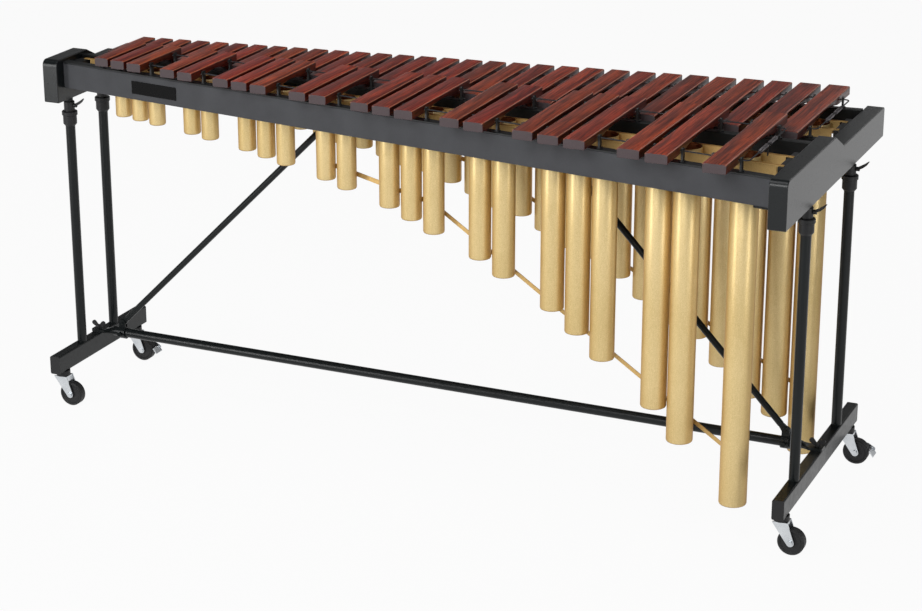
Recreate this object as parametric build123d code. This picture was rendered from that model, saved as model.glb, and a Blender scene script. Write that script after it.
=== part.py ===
from build123d import *
import math
import os

os.makedirs("parts", exist_ok=True)

# A 4 1/3-octave concert marimba, A2 to C7, in millimetres, +Z up.
# +X runs towards the low notes, +Y away from the audience, towards the player's side.
# The model is drawn with X = 0 midway between the end boards and Y = 0 at the middle of the
# low end board. At the end everything moves so that the origin is on the floor, under the
# middle of the whole instrument's box.

# ---- driving sizes: the frame ----
BOARD_THICK = 44
END_ROOM = 55.75             # between an end board and the nearest natural
BOARD_DROP = 29              # top of an end board below the accidentals' tops
LOW_BOARD_DEPTH = 882
HIGH_BOARD_DEPTH = 335
HIGH_BOARD_Y = 58            # middle of the high board behind the middle of the low one
BOARD_HEIGHT = 116           # height of an end board under the accidentals
BOARD_STEP = 39              # drop of its top behind the accidentals
STEP_RUN = 79                # run of the sloping riser of that step
LOW_STEP_Y = -34             # where the riser starts on the low board
HIGH_STEP_Y = 43             # and on the high board
BOARD_NOSE = 16              # rounding of its top edge on the audience's side
STEP_ROUND = 6               # rounding of the step's two corners

# ---- driving sizes: the bars ----
BAR_TOP = 997                # top of the accidentals above the floor
BANK_DROP = 32               # the naturals' tops are this much lower
BAR_THICK = 23
BAR_ROUND = 4                # rounding of a bar's long edges
BAR_ARRIS = 1                # softening of its ends
HIGH_BAR_WIDTH = 38.5        # C7
LOW_BAR_WIDTH = 56.5         # A2
HIGH_GAP = 14.0              # gap between the two highest naturals
LOW_GAP = 17.2               # gap between the two lowest
NATURALS = 31
CORD_DEPTH = 12              # middle of the cord below a bar's top
CORD_RADIUS = 1.7
CORD_HOLE_RADIUS = 2.6
CORD_MARGIN = 24             # how far a cord runs past its bank's end bars
HIGH_ARCH = 6                # how far the underside is cut away in the middle of C7
LOW_ARCH = 14                # and of A2

# ---- lines across the instrument: y = start + slope * x ----
ACC_NEAR_ENDS = (-295, -0.184)       # audience's ends of the accidentals
ACC_FAR_ENDS = (45.5, -0.0207)
NAT_NEAR_ENDS = (22, -0.038)
NAT_FAR_ENDS = (360, 0.119)
FRONT_RAIL_LINE = (-222, -0.155)     # the accidentals' nodal lines
MIDDLE_RAIL_LINE = (-19, -0.047)
NAT_RAIL_LINE = (82.9, -0.0097)      # the naturals' nodal lines
REAR_RAIL_LINE = (292.3, 0.0876)
ACC_TUBE_LINE = (-120.5, -0.101)     # middles of the resonator rows
NAT_TUBE_LINE = (205.7, 0.0597)

# ---- driving sizes: rails, posts and cords ----
FRONT_RAIL_THICK = 25
RAIL_THICK = 22
RAIL_HEIGHT = 67
RAIL_CAP = 4                 # black strip on the front rail
NAT_RAIL_RISE = 5            # the naturals' rails stand this much nearer to their bars
BADGE_HEIGHT = 34
BADGE_THICK = 2
SEAT_LENGTH = 50
SEAT_THICK = 5
RAIL_DROP = 38               # top of a rail below its bars' tops
POST_DROP = 5                # tips of the posts below the bars' tops
POST_WIDTH = 10
POST_THICK = 5
POST_FOOT_RADIUS = 7.5
POST_FOOT_THICK = 3
FIT_GAP = 0.3                # clearance between pieces that pass each other
SPRING_RADIUS = 5.5
SPRING_LENGTH = 62
SPRING_SPACING = 74          # between the middles of a bank's two cord springs
STRAP_WIDTH = 9
STRAP_THICK = 1.6
STRAP_DROP = 26

# ---- driving sizes: the resonators ----
SOUND_SPEED = 345000         # mm/s, for the quarter-wave lengths
TOP_NOTE = 2093.0            # C7, Hz
SHORTEST_TUBES = (82, 138)   # of the naturals and of the accidentals
LONGEST_TUBES = (880, 880)
TUBE_LAWS = (1.0, 1.08)      # how the length grows with the quarter wave
HIGH_TUBE_RADIUS = 21.5
LOW_TUBE_RADIUS = 35
TUBE_SWELL = 1.4             # how the radius grows along the bank
TUBE_WALL = 1.3
TUBE_ROUND = 5               # rounding of a closed lower end
MOUTH_DROP = 42              # mouths of the tubes below their bars' tops
NAT_MOUTH_DROP = 4           # and the naturals' mouths lower by this
STRIP_THICK = 2
STRIP_HEIGHT = 32
STRIP_FLANGE = 9
STRIP_TONGUE = 19            # bare flange past the web's ends
STRIP_CLEAR = 16             # between a strip's tip and the end board
MOUTH_RISE = 2               # mouths above the strips
LEDGE_WIDTH = 28
LEDGE_HEIGHT = 30
STABILISER_HEIGHT = 12

# ---- driving sizes: the stand ----
FOOT_WIDTH = 30
FOOT_HEIGHT = 51
FOOT_WALL = 2
LOW_FOOT = (-315, 365)       # near and far end of the low foot
HIGH_FOOT = (-164, 296)
CAP_THICK = 3
CAP_PLUG = 18                # length of a cap's plug inside its foot
LEG_RADIUS = 13
LEG_WALL = 2
SLIDE_GAP = 0.4              # between the inner and the outer leg tubes
INNER_LEG_LENGTH = 292       # of inner leg below its end board
LOW_LEGS_Y = (-184, 207)     # near and far leg of the low end
HIGH_LEGS_Y = (-24, 144)
CLAMP_CLEAR = 14             # top of a clamp below the end board
CLAMP_NECK = 27              # height of its narrow neck, which carries the screw
CLAMP_RING = 11              # height of its ring
CLAMP_SLEEVE = 30            # height of its sleeve
SLEEVE_WALL = 5.5
RING_WALL = 8
NECK_WALL = 3.6
LEG_SCREW_RADIUS = 3
LEVER_REACH = 30             # how far a leg screw's lever reaches out from its neck
BRACE_RADIUS = 13
BRACE_RISE = 7               # middle of the cross brace above the feet's tops
BRACE_END_THICK = 8
BRACE_END_WIDTH = 32
BRACE_WING_SIZE = 13
COLLAR_INSET = 81            # clamp collars on the brace from the legs' plane
COLLAR_WALL = 4.2
COLLAR_LENGTH = 22
CLEVIS_RISE = 29             # lower pivots above the brace's middle
CLEVIS_GAP = 8               # between a clevis's cheeks
CLEVIS_CHEEK = 3
UPPER_PIVOT_DROP = 30        # upper pivots below the middle rail
UPPER_PIVOT_X = (-280, 322)
DIAGONAL_RADIUS = 8.5
PIVOT_RADIUS = 4
EYE_RADIUS = 10
SLACK_EYE_RADIUS = 7         # the upper eye is wide, so the diagonal can find its angle

# ---- driving sizes: the casters ----
WHEEL_RADIUS = 33.5
WHEEL_WIDTH = 25
TRAIL = 27                   # wheel's axle from the swivel's axis
STEM_INSET = 37              # swivel's axis inside a foot's end
AXLE_RADIUS = 4
STEM_RADIUS = 4.9            # a caster's pin in its foot
RUN_GAP = 0.05               # radial clearance of running fits
FORK_GAP = 1.6               # between a fork's cheek and the wheel's side
CHEEK_THICK = 3
CROWN_THICK = 6
CROWN_CLEAR = 10.7           # between the wheel and the crown of its fork
NECK_RADIUS = 19
NECK_HEIGHT = 14.3           # from the crown to the foot
BRAKE_PIN_RADIUS = 2
BRAKE_THICK = 2.5
PEDAL_CLEAR = 6              # middle of a brake's pedal behind the tread
PEDAL_REACH = 7.5            # and its tip beyond that

# ---- sizes that follow ----
widths = [HIGH_BAR_WIDTH + (LOW_BAR_WIDTH - HIGH_BAR_WIDTH) * i / (NATURALS - 1)
          for i in range(NATURALS)]
gaps = [HIGH_GAP + (LOW_GAP - HIGH_GAP) * i / (NATURALS - 2) for i in range(NATURALS - 1)]
span = sum(widths) + sum(gaps)
BOARD_INNER = span / 2 + END_ROOM
BOARD_OUTER = BOARD_INNER + BOARD_THICK
BOARD_BOTTOM = BAR_TOP - BOARD_DROP - BOARD_HEIGHT
STRIP_END = BOARD_INNER - STRIP_CLEAR
NAT_TOP = BAR_TOP - BANK_DROP
FOOT_BOTTOM = 2 * WHEEL_RADIUS + CROWN_CLEAR + CROWN_THICK + NECK_HEIGHT
FOOT_TOP = FOOT_BOTTOM + FOOT_HEIGHT
LEG_X = BOARD_INNER + BOARD_THICK / 2
LEGS = {"low_near": (LEG_X, LOW_LEGS_Y[0]), "low_far": (LEG_X, LOW_LEGS_Y[1]),
        "high_near": (-LEG_X, HIGH_LEGS_Y[0]), "high_far": (-LEG_X, HIGH_LEGS_Y[1])}
INNER_LEG_RADIUS = LEG_RADIUS - LEG_WALL - SLIDE_GAP


def on(line, x):
    return line[0] + line[1] * x


def shifted(line, amount, spread=0.0):
    return (line[0] + amount, line[1] + spread)


def turn_of(line):
    return math.degrees(math.atan(line[1]))


def plank(front, back, x0, x1, z0, z1):
    """A straight board between two lines of the plan, with its ends square to X."""
    corners = [(x0, on(front, x0)), (x1, on(front, x1)), (x1, on(back, x1)), (x0, on(back, x0))]
    return Pos(0, 0, z0) * extrude(make_face(Polyline(*corners, close=True)), z1 - z0)


def rail(line, thick, z0, z1, x0=-BOARD_INNER, x1=BOARD_INNER, ease=2):
    body = plank(shifted(line, -thick / 2), shifted(line, thick / 2), x0, x1, z0, z1)
    long_edges = [e for e in body.edges() if e.length > 0.9 * (x1 - x0)]
    return fillet(long_edges, ease)


def along_y(profile, x, width):
    """A profile drawn in Y and Z, extruded along X about the plane at x."""
    return Pos(x, 0, 0) * extrude(Plane.YZ * profile, width / 2, both=True)


def cylinder(radius, start, direction, length):
    plane = Plane(origin=start, z_dir=direction)
    return extrude(plane * Circle(radius), length)


def hull(*sketches):
    """The sketch that a band stretched round the given ones would make."""
    return make_hull([edge for sketch in sketches for edge in sketch.edges()])


def save(name, solids):
    solids = solids if isinstance(solids, list) else [solids]
    everything.append((name, solids))


everything = []


# ================= end boards: stepped tops, the audience's top edge well rounded =================
def end_board(x, middle, depth, step_y):
    front = middle - depth / 2
    back = middle + depth / 2
    top = BOARD_BOTTOM + BOARD_HEIGHT
    outline = FilletPolyline(
        (front, BOARD_BOTTOM), (back, BOARD_BOTTOM), (back, top - BOARD_STEP),
        (step_y + STEP_RUN, top - BOARD_STEP), (step_y, top), (front, top),
        radius=[4, 4, 8, STEP_ROUND, STEP_ROUND, BOARD_NOSE], close=True)
    board = along_y(make_face(outline), x, BOARD_THICK)
    return fillet(board.faces().filter_by(Axis.X).edges(), 2)


save("end_board_low", end_board(LEG_X, 0, LOW_BOARD_DEPTH, LOW_STEP_Y))
save("end_board_high", end_board(-LEG_X, HIGH_BOARD_Y, HIGH_BOARD_DEPTH, HIGH_STEP_Y))

# ================= rails under the nodal lines =================
acc_rail_top = BAR_TOP - RAIL_DROP
nat_rail_top = NAT_TOP - RAIL_DROP + NAT_RAIL_RISE
front_rail_top = acc_rail_top - RAIL_CAP
save("front_rail", rail(FRONT_RAIL_LINE, FRONT_RAIL_THICK, front_rail_top - RAIL_HEIGHT, front_rail_top))
save("front_rail_cap", rail(FRONT_RAIL_LINE, FRONT_RAIL_THICK + 2, front_rail_top, acc_rail_top, ease=1))
save("middle_rail", rail(MIDDLE_RAIL_LINE, RAIL_THICK, acc_rail_top - RAIL_HEIGHT, acc_rail_top))
save("naturals_rail", rail(NAT_RAIL_LINE, RAIL_THICK, nat_rail_top - RAIL_HEIGHT, nat_rail_top))
save("rear_rail", rail(REAR_RAIL_LINE, RAIL_THICK, nat_rail_top - RAIL_HEIGHT, nat_rail_top))

# The bare badge plate is fixed on the audience's face of the front rail, near the high end.
BADGE_X = (-796, -651)
badge_top = front_rail_top - (RAIL_HEIGHT - BADGE_HEIGHT) / 2
rail_front = shifted(FRONT_RAIL_LINE, -FRONT_RAIL_THICK / 2)
badge = plank(shifted(rail_front, -BADGE_THICK), rail_front, BADGE_X[0], BADGE_X[1],
              badge_top - BADGE_HEIGHT, badge_top)
save("badge_plate", chamfer(badge.faces().sort_by(Axis.Y)[0].edges(), 0.8))

# A steel angle holds the front rail's low end on the board.
seat_top = front_rail_top - RAIL_HEIGHT
seat = plank(shifted(rail_front, 1), shifted(FRONT_RAIL_LINE, FRONT_RAIL_THICK / 2 - 1),
             BOARD_INNER - SEAT_LENGTH, BOARD_INNER, seat_top - SEAT_THICK, seat_top)
save("rail_seat", fillet(seat.edges().filter_by(Axis.Z), 2))

# ================= where each bar lies =================
SEMITONES = (0, 1, 3, 5, 7, 8, 10)          # C B A G F E D, counted down from a C
naturals = []
edge = -span / 2
for i in range(NATURALS):
    down = SEMITONES[i % 7] + 12 * (i // 7)
    naturals.append({"x": edge + widths[i] / 2, "width": widths[i], "down": down})
    edge += widths[i] + (gaps[i] if i < NATURALS - 1 else 0)

# An accidental sits over the gap between two naturals a whole tone apart.
accidentals = []
for i in range(1, NATURALS):
    if naturals[i]["down"] - naturals[i - 1]["down"] == 2:
        left = naturals[i - 1]["x"] + widths[i - 1] / 2
        right = naturals[i]["x"] - widths[i] / 2
        accidentals.append({"x": (left + right) / 2, "width": (widths[i - 1] + widths[i]) / 2,
                            "down": naturals[i]["down"] - 1})
for bar in naturals + accidentals:
    bar["low"] = (bar["x"] + span / 2) / span      # 0 at the high end, 1 at the low end
    bar["quarter_wave"] = SOUND_SPEED / (4 * TOP_NOTE * 2 ** (-bar["down"] / 12))


# ================= bars: rounded long edges, an arch cut under the middle, two cord holes ========
def cord_hole(x, width, line, z):
    start = Vector(x, on(line, x), z) - Vector(1, line[1], 0) * width
    return cylinder(CORD_HOLE_RADIUS, start, (1, line[1], 0), 2.2 * width)


def make_bar(bar, top, near_ends, far_ends, near_node, far_node):
    x = bar["x"]
    front = on(near_ends, x)
    back = on(far_ends, x)
    length = back - front
    section = Plane.XZ * RectangleRounded(bar["width"], BAR_THICK, BAR_ROUND)
    body = extrude(section, -length)
    ends = body.faces().filter_by(Axis.Y)
    body = Pos(x, front, top - BAR_THICK / 2) * chamfer(ends.edges(), BAR_ARRIS)
    rise = HIGH_ARCH + (LOW_ARCH - HIGH_ARCH) * bar["low"]
    reach = length * (0.22 + 0.05 * bar["low"])
    middle = (front + back) / 2
    under = top - BAR_THICK
    arch = make_face([
        ThreePointArc((middle - reach, under), (middle, under + rise), (middle + reach, under)),
        Polyline((middle + reach, under), (middle + reach, under - 5), (middle - reach, under - 5),
                 (middle - reach, under))])
    body -= along_y(arch, x, bar["width"] + 2)
    hole_z = top - CORD_DEPTH - (CORD_HOLE_RADIUS - CORD_RADIUS) + FIT_GAP
    for node in (near_node, far_node):
        body -= cord_hole(x, bar["width"], node, hole_z)
    return body


def bars_of(bank, top, *lines):
    return [make_bar(bar, top, *lines).solids()[0] for bar in bank]


nat_lines = (NAT_NEAR_ENDS, NAT_FAR_ENDS, NAT_RAIL_LINE, REAR_RAIL_LINE)
acc_lines = (ACC_NEAR_ENDS, ACC_FAR_ENDS, FRONT_RAIL_LINE, MIDDLE_RAIL_LINE)
save("naturals_high", bars_of(naturals[:10], NAT_TOP, *nat_lines))
save("naturals_middle", bars_of(naturals[10:21], NAT_TOP, *nat_lines))
save("naturals_low", bars_of(naturals[21:], NAT_TOP, *nat_lines))
save("accidentals_high", bars_of(accidentals[:10], BAR_TOP, *acc_lines))
save("accidentals_low", bars_of(accidentals[10:], BAR_TOP, *acc_lines))


# ================= forked posts that carry the cords between the bars =================
def fork_post(x, line, rail_top, bar_top):
    tip = bar_top - POST_DROP
    cord_z = bar_top - CORD_DEPTH
    slot = CORD_RADIUS + FIT_GAP + 0.1
    height = tip - rail_top
    blade = extrude(Plane.YZ * Rectangle(POST_WIDTH, height, align=(Align.CENTER, Align.MIN)),
                    POST_THICK / 2, both=True)
    blade = chamfer(blade.edges().filter_by(Axis.X).sort_by(Axis.Z)[-2:], 1.5)
    groove = extrude(Plane.YZ * Pos(0, cord_z - rail_top) * SlotOverall(4 * CORD_RADIUS + 20, 2 * slot,
                     rotation=90), POST_THICK, both=True)
    groove = Pos(0, 0, (4 * CORD_RADIUS + 20) / 2 - slot) * groove
    foot = Cylinder(POST_FOOT_RADIUS, POST_FOOT_THICK, align=(Align.CENTER, Align.CENTER, Align.MIN))
    post = (blade + foot) - groove
    return (Pos(x, on(line, x), rail_top) * Rot(0, 0, turn_of(line)) * post).solids()[0]


def post_places(bank):
    """One post in each gap between neighbours, and one outside each group's two ends."""
    places = []
    margin = POST_THICK / 2 + 4.5
    for k, bar in enumerate(bank):
        left = bar["x"] - bar["width"] / 2
        right = bar["x"] + bar["width"] / 2
        if k == 0 or left - (bank[k - 1]["x"] + bank[k - 1]["width"] / 2) > 30:
            places.append(left - margin)
        if k < len(bank) - 1 and bank[k + 1]["x"] - bank[k + 1]["width"] / 2 - right < 30:
            places.append((right + bank[k + 1]["x"] - bank[k + 1]["width"] / 2) / 2)
        else:
            places.append(right + margin)
    return places


acc_posts = [fork_post(x, line, acc_rail_top, BAR_TOP)
             for line in (FRONT_RAIL_LINE, MIDDLE_RAIL_LINE) for x in post_places(accidentals)]
nat_posts = [fork_post(x, line, nat_rail_top, NAT_TOP)
             for line in (NAT_RAIL_LINE, REAR_RAIL_LINE) for x in post_places(naturals)]
save("accidentals_posts", acc_posts)
save("naturals_posts", nat_posts)


# ================= suspension cords: one loop a bank, closed by two springs at the low end =======
def cord_run(bank, top, near, far):
    z = top - CORD_DEPTH
    low = bank[-1]["x"] + bank[-1]["width"] / 2 + CORD_MARGIN
    high = bank[0]["x"] - bank[0]["width"] / 2 - CORD_MARGIN
    middle = (on(near, low) + on(far, low)) / 2
    reach = SPRING_SPACING / 2 + SPRING_LENGTH / 2
    path = FilletPolyline(
        (low, middle - reach, z), (low, on(near, low), z), (high, on(near, high), z),
        (high, on(far, high), z), (low, on(far, low), z), (low, middle + reach, z), radius=12)
    start = Plane(origin=path @ 0, z_dir=path % 0)
    cord = sweep(start * Circle(CORD_RADIUS), path=path)
    springs = []
    for side in (-1, 1):
        at = middle + side * SPRING_SPACING / 2
        barrel = cylinder(SPRING_RADIUS, (low, at - SPRING_LENGTH / 2, z), (0, 1, 0), SPRING_LENGTH)
        springs.append(chamfer(barrel.edges().filter_by(GeomType.CIRCLE), 1.2).solids()[0])
    gap = SPRING_SPACING - SPRING_LENGTH
    springs.append(cylinder(CORD_RADIUS, (low, middle - gap / 2, z), (0, 1, 0), gap).solids()[0])
    return cord.solids()[0], springs, (low, middle, z)


acc_cord, acc_springs, acc_link = cord_run(accidentals, BAR_TOP, FRONT_RAIL_LINE, MIDDLE_RAIL_LINE)
nat_cord, nat_springs = cord_run(naturals, NAT_TOP, NAT_RAIL_LINE, REAR_RAIL_LINE)[:2]
save("accidentals_cord", acc_cord)
save("naturals_cord", nat_cord)
save("cord_springs", acc_springs + nat_springs)

# A strap hangs from the link between the accidentals' two springs.
strap_loop = Cylinder(CORD_RADIUS + STRAP_THICK, STRAP_WIDTH, rotation=(90, 0, 0))
strap_tail = Pos(0, 0, -STRAP_DROP / 2) * Box(STRAP_THICK, STRAP_WIDTH, STRAP_DROP)
strap_eye = Cylinder(CORD_RADIUS + 0.2, STRAP_WIDTH + 2, rotation=(90, 0, 0))
save("spring_strap", Pos(*acc_link) * ((strap_loop + strap_tail) - strap_eye))


# ================= resonators: closed tubes hung between two angle strips =================
def tube_radius(low):
    return HIGH_TUBE_RADIUS + (LOW_TUBE_RADIUS - HIGH_TUBE_RADIUS) * low ** TUBE_SWELL


strip_half = ((HIGH_TUBE_RADIUS + LOW_TUBE_RADIUS) / 2 + 0.6,
              (LOW_TUBE_RADIUS - HIGH_TUBE_RADIUS) / span)


def make_tube(bar, waves, line, mouth, shortest, longest, law):
    """A tube with a rivet boss on each side, whose length follows the quarter wave."""
    x = bar["x"]
    y = on(line, x)
    radius = tube_radius(bar["low"])
    share = (bar["quarter_wave"] - waves[0]) / (waves[1] - waves[0])
    length = shortest + (longest - shortest) * share ** law
    outer = Cylinder(radius, length, align=(Align.CENTER, Align.CENTER, Align.MAX))
    outer = fillet(outer.edges().sort_by(Axis.Z)[0], TUBE_ROUND)
    reach = strip_half[0] + strip_half[1] * x - 0.35
    boss = Pos(0, 0, -STRIP_HEIGHT / 2) * Cylinder(2.5, 2 * reach, rotation=(90, 0, 0))
    inner = Pos(0, 0, 1) * Cylinder(radius - TUBE_WALL, length + 1 - 2 * TUBE_WALL,
                                    align=(Align.CENTER, Align.CENTER, Align.MAX))
    tube = (outer + boss) - inner
    return (Pos(x, y, mouth) * tube).solids()[0]


def tubes_of(bank, line, mouth, *law):
    waves = (bank[0]["quarter_wave"], bank[-1]["quarter_wave"])
    return [make_tube(bar, waves, line, mouth, *law) for bar in bank]


acc_mouth = BAR_TOP - MOUTH_DROP
nat_mouth = NAT_TOP - MOUTH_DROP - NAT_MOUTH_DROP
nat_law, acc_law = zip(SHORTEST_TUBES, LONGEST_TUBES, TUBE_LAWS)
save("accidentals_tubes", tubes_of(accidentals, ACC_TUBE_LINE, acc_mouth, *acc_law))
save("naturals_tubes", tubes_of(naturals, NAT_TUBE_LINE, nat_mouth, *nat_law))


def angle_strip(line, side, top):
    """One angle strip: a web against the tubes, and a flange that turns away from them."""
    inner = shifted(line, side * strip_half[0], side * strip_half[1])
    web_back = shifted(inner, side * STRIP_THICK)
    flange_back = shifted(inner, side * STRIP_FLANGE)
    near_web, far_web = (web_back, inner) if side < 0 else (inner, web_back)
    near_flange, far_flange = (flange_back, inner) if side < 0 else (inner, flange_back)
    web_end = STRIP_END - STRIP_TONGUE
    web = plank(near_web, far_web, -web_end, web_end, top - STRIP_HEIGHT, top)
    flange = plank(near_flange, far_flange, -STRIP_END, STRIP_END, top - STRIP_THICK, top)
    return (web + flange).solids()[0]


save("accidentals_strips", [angle_strip(ACC_TUBE_LINE, side, acc_mouth - MOUTH_RISE) for side in (-1, 1)])
save("naturals_strips", [angle_strip(NAT_TUBE_LINE, side, nat_mouth - MOUTH_RISE) for side in (-1, 1)])


# The strips' tongues rest on ledges screwed to the insides of the end boards.
def ledge(line, end, top, front_margin, back_margin):
    x = end * STRIP_END
    half = strip_half[0] + strip_half[1] * x + STRIP_FLANGE
    front = on(line, x) - half - front_margin
    back = on(line, x) + half + back_margin
    block = Pos(end * (BOARD_INNER - LEDGE_WIDTH / 2), (front + back) / 2, top - LEDGE_HEIGHT / 2) * Box(
        LEDGE_WIDTH, back - front, LEDGE_HEIGHT)
    return fillet(block.edges().filter_by(Axis.Z), 3).solids()[0]


strip_under = MOUTH_RISE + STRIP_THICK
save("resonator_ledges", [
    ledge(ACC_TUBE_LINE, 1, acc_mouth - strip_under, 10, 40),
    ledge(ACC_TUBE_LINE, -1, acc_mouth - strip_under, 0, 0),
    ledge(NAT_TUBE_LINE, 1, nat_mouth - strip_under, 10, 30),
    ledge(NAT_TUBE_LINE, -1, nat_mouth - strip_under, 2, 2)])


# A slim strip ties the long tubes together on the player's side, rising towards the short ones.
def stabiliser(line, mouth, points):
    """The points are places along X, each with the strip's drop below the tubes' mouths."""
    far = shifted(line, strip_half[0] + 0.3, strip_half[1])
    stretch = math.sqrt(1 + far[1] ** 2)
    half = STABILISER_HEIGHT / 2
    outline = [(-x * stretch, mouth - drop + half) for x, drop in points]
    outline += [(-x * stretch, mouth - drop - half) for x, drop in reversed(points)]
    flat = make_face(Polyline(*outline, close=True))
    wall = Plane(origin=(0, far[0], 0), x_dir=(-1, -far[1], 0), z_dir=(-far[1], 1, 0))
    return extrude(wall * flat, STRIP_THICK).solids()[0]


save("accidentals_stabiliser", stabiliser(ACC_TUBE_LINE, acc_mouth, [(-250, 189), (60, 253), (925, 789)]))
save("naturals_stabiliser", stabiliser(NAT_TUBE_LINE, nat_mouth, [(-240, 144), (60, 207), (960, 743)]))

# ================= bent wire hanger for the middle of the accidentals' resonators =================
HANGER_X = 43
HANGER_RADIUS = 2.5
hanger_back = on(NAT_RAIL_LINE, HANGER_X) - RAIL_THICK / 2
hanger_front = on(MIDDLE_RAIL_LINE, HANGER_X) + RAIL_THICK / 2
hanger_path = FilletPolyline(
    (HANGER_X, hanger_back - 0.1, nat_rail_top - 10), (HANGER_X, hanger_back - 22, nat_rail_top - 10),
    (HANGER_X + 8, hanger_back - 34, nat_rail_top - 52), (HANGER_X + 8, hanger_front + 0.1,
                                                          nat_rail_top - 52), radius=6)
hanger_start = Plane(origin=hanger_path @ 0, z_dir=hanger_path % 0)
save("wire_hanger", sweep(hanger_start * Circle(HANGER_RADIUS), path=hanger_path))
hanger_screws = []
for dx in (-14, 14):
    seat_y = on(NAT_RAIL_LINE, HANGER_X + dx) - RAIL_THICK / 2 - 3.1
    screw = cylinder(5, (HANGER_X + dx, seat_y, nat_rail_top - 12), (0, 1, 0), 3)
    hanger_screws.append(fillet(screw.edges().sort_by(Axis.Y)[0], 1.5).solids()[0])
save("hanger_screws", hanger_screws)

# ================= legs: inner tubes on the frame, outer tubes and clamps on the stand ===========
neck_radius = INNER_LEG_RADIUS + FIT_GAP + NECK_WALL
ring_radius = LEG_RADIUS + RING_WALL
sleeve_radius = LEG_RADIUS + SLEEVE_WALL
clamp_top = BOARD_BOTTOM - CLAMP_CLEAR
leg_top = clamp_top - CLAMP_NECK
sleeve_top = leg_top - CLAMP_RING
sleeve_bottom = sleeve_top - CLAMP_SLEEVE
screw_height = clamp_top - 11


def pipe(radius, wall, bottom, top):
    height = top - bottom
    outside = Cylinder(radius, height, align=(Align.CENTER, Align.CENTER, Align.MIN))
    return Pos(0, 0, bottom) * (outside - Cylinder(radius - wall, height,
                                                   align=(Align.CENTER, Align.CENTER, Align.MIN)))


inner_legs = []
outer_legs = []
clamps = []
for x, y in LEGS.values():
    inner = pipe(INNER_LEG_RADIUS, 1.5, BOARD_BOTTOM - INNER_LEG_LENGTH, BOARD_BOTTOM)
    inner_legs.append((Pos(x, y, 0) * inner).solids()[0])
    outer_legs.append((Pos(x, y, 0) * pipe(LEG_RADIUS, LEG_WALL, FOOT_TOP, leg_top)).solids()[0])
    profile = Polyline(
        (LEG_RADIUS, sleeve_bottom), (LEG_RADIUS + 1, sleeve_bottom), (sleeve_radius, sleeve_bottom + 6),
        (sleeve_radius, sleeve_top - 1.5), (ring_radius, sleeve_top), (ring_radius, leg_top - 1.5),
        (ring_radius - 1.5, leg_top), (neck_radius, leg_top), (neck_radius, clamp_top - 1.5),
        (neck_radius - 1.5, clamp_top), (INNER_LEG_RADIUS + FIT_GAP, clamp_top),
        (INNER_LEG_RADIUS + FIT_GAP, leg_top), (LEG_RADIUS, leg_top), close=True)
    clamp = revolve(Plane.XZ * make_face(profile), Axis.Z)
    screw_hole = cylinder(LEG_SCREW_RADIUS + RUN_GAP, (INNER_LEG_RADIUS - 2, 0, screw_height), (1, 0, 0), 12)
    clamps.append((Pos(x, y, 0) * (clamp - screw_hole)).solids()[0])
save("inner_legs", inner_legs)
save("outer_legs", outer_legs)
save("leg_clamps", clamps)


# ================= the legs' screws: each has one curved, leaf-shaped lever =================
def lever_screw():
    """The axis runs out along +X from x = 0, where the boss starts; the lever rises outwards."""
    boss = cylinder(5.5, (0, 0, 0), (1, 0, 0), 8)
    swells = ((4, 1, 3.5), (0.5 * LEVER_REACH, 7, 3.6), (0.78 * LEVER_REACH, 13, 2.9), (LEVER_REACH, 20, 1.2))
    discs = [Pos(x, z) * Circle(r) for x, z, r in swells]
    leaf = Sketch() + [hull(a, b) for a, b in zip(discs, discs[1:])]
    blade = extrude(Plane.XZ * leaf, 3, both=True)
    return boss + blade


for name, (x, y) in LEGS.items():
    screw = Pos(x + neck_radius + FIT_GAP, y, screw_height) * lever_screw()
    shank = cylinder(LEG_SCREW_RADIUS, (x + INNER_LEG_RADIUS + FIT_GAP, y, screw_height), (1, 0, 0), 8)
    save("leg_screw_" + name, screw + shank)


# ================= feet: rectangular tubes with plastic end caps =================
def foot(x, ends):
    length = ends[1] - ends[0]
    middle = (FOOT_BOTTOM + FOOT_TOP) / 2
    outer = Box(FOOT_WIDTH, length, FOOT_HEIGHT)
    outer = fillet(outer.edges().filter_by(Axis.Y), 4)
    inner = Box(FOOT_WIDTH - 2 * FOOT_WALL, length, FOOT_HEIGHT - 2 * FOOT_WALL)
    tube = Pos(x, (ends[0] + ends[1]) / 2, middle) * (outer - fillet(inner.edges().filter_by(Axis.Y), 2))
    for y in (ends[0] + STEM_INSET, ends[1] - STEM_INSET):
        tube -= cylinder(STEM_RADIUS + 0.1, (x, y, FOOT_BOTTOM - 1), (0, 0, 1), 4)
    tube -= cylinder(PIVOT_RADIUS + FIT_GAP, (x, on(brace_line, x), FOOT_TOP - 4), (0, 0, 1), 6)
    return tube


def foot_cap(x, end, way):
    middle = (FOOT_BOTTOM + FOOT_TOP) / 2
    lid = Pos(0, way * CAP_THICK / 2, 0) * Box(FOOT_WIDTH, CAP_THICK, FOOT_HEIGHT)
    lid = fillet(lid.edges().filter_by(Axis.Y), 4)
    plug = Pos(0, -way * CAP_PLUG / 2, 0) * Box(FOOT_WIDTH - 2 * FOOT_WALL - 0.4, CAP_PLUG,
                                                FOOT_HEIGHT - 2 * FOOT_WALL - 0.4)
    plug = fillet(plug.edges().filter_by(Axis.Y), 2)
    return (Pos(x, end, middle) * (lid + plug)).solids()[0]


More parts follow.
